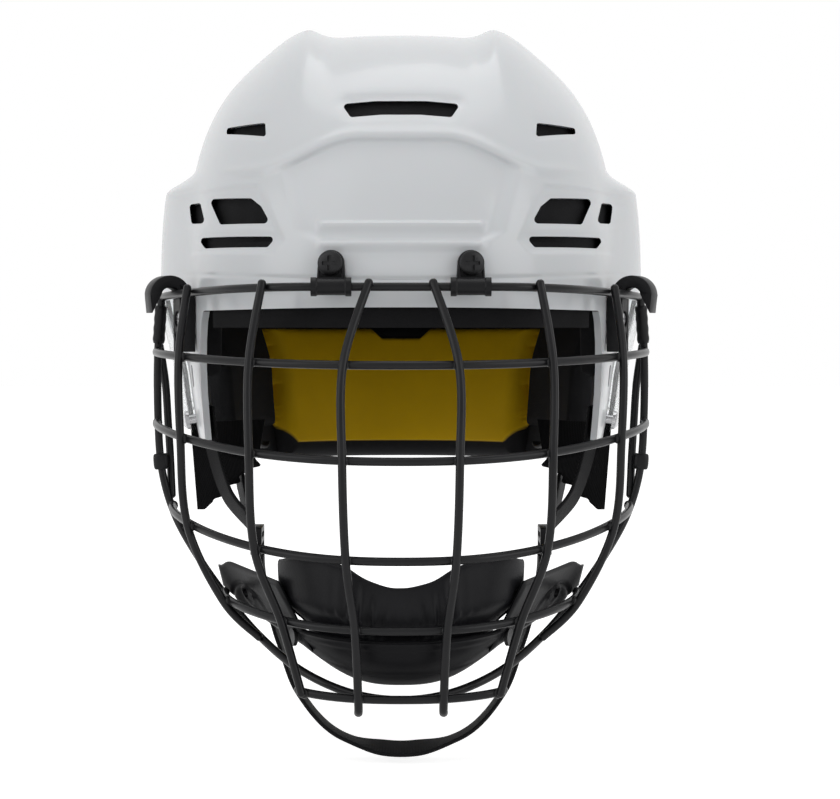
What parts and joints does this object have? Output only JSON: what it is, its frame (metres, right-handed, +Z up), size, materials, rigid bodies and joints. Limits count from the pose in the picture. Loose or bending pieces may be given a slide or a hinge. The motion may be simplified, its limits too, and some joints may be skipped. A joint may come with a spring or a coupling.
{
  "type": "ice hockey helmet",
  "caption": "Ice hockey helmet in two moulded shells with foam pads, harness, ear guards and a hinged full wire face cage with a chin cup.",
  "frame": {"origin": "middle of the head opening, level with the brow rim, half way along the helmet", "axes": "+Z up, -Y the way the wearer looks, +X towards the wearer's left hand"},
  "size_m": [0.2192, 0.3069, 0.3053],
  "materials": {
    "shell_white": "gloss",
    "foam_dark": "matt",
    "pad_mustard": "matt",
    "pad_black": "matt",
    "cup_plastic": "satin",
    "vinyl_black": "satin",
    "fitting_black": "satin",
    "wire_black": "semi-gloss",
    "steel_bright": "bright",
    "guard_clear": "clear",
    "webbing_black": "woven"
  },
  "bodies": {
    "helmet": {"front_shell": "shell_white", "forehead_liner": "foam_dark", "temple_liner_left": "foam_dark", "temple_liner_right": "foam_dark", "crown_liner_front": "foam_dark", "cage_clip_left": "fitting_black", "cage_clip_right": "fitting_black", "clip_screws": "steel_bright", "clip_nuts": "steel_bright", "temple_hook_left": "fitting_black", "temple_hook_right": "fitting_black", "hook_screws": "steel_bright", "ear_guard_left": "guard_clear", "ear_guard_right": "guard_clear", "guard_screws": "steel_bright", "size_screws": "steel_bright", "harness_front_left": "webbing_black", "harness_front_right": "webbing_black", "harness_sliders": "fitting_black", "chin_strap": "webbing_black"},
    "rear_half": {"rear_shell": "shell_white", "crown_liner_rear": "foam_dark", "side_liner_left": "foam_dark", "side_liner_right": "foam_dark", "rear_liner": "foam_dark", "rear_pad": "pad_mustard", "harness_rear_left": "webbing_black", "harness_rear_right": "webbing_black"},
    "cage": {"cage_top_bar": "wire_black", "cage_rim_wire": "wire_black", "cage_eye_bar": "wire_black", "cage_nose_bar": "wire_black", "cage_mouth_bar": "wire_black", "cage_chin_bar": "wire_black", "cage_bottom_bar": "wire_black", "cage_inner_uprights": "wire_black", "cage_middle_uprights": "wire_black", "cage_outer_uprights": "wire_black", "cage_side_wires": "wire_black", "cage_sleeve_left": "vinyl_black", "cage_sleeve_right": "vinyl_black", "chin_cup": "cup_plastic", "chin_cup_pad": "pad_black", "chin_cup_snaps": "steel_bright", "snap_tabs": "webbing_black"}
  },
  "joints": [
    {"name": "cage_swing", "type": "hinge", "parent": "helmet", "child": "cage", "pos_m": [0, -0.147, 0.008], "axis": [-1, 0, 0], "range_deg": [0, 110]},
    {"name": "size_slide", "type": "slide", "parent": "helmet", "child": "rear_half", "axis": [0, 1, 0], "range_m": [0, 0.012]}
  ]
}
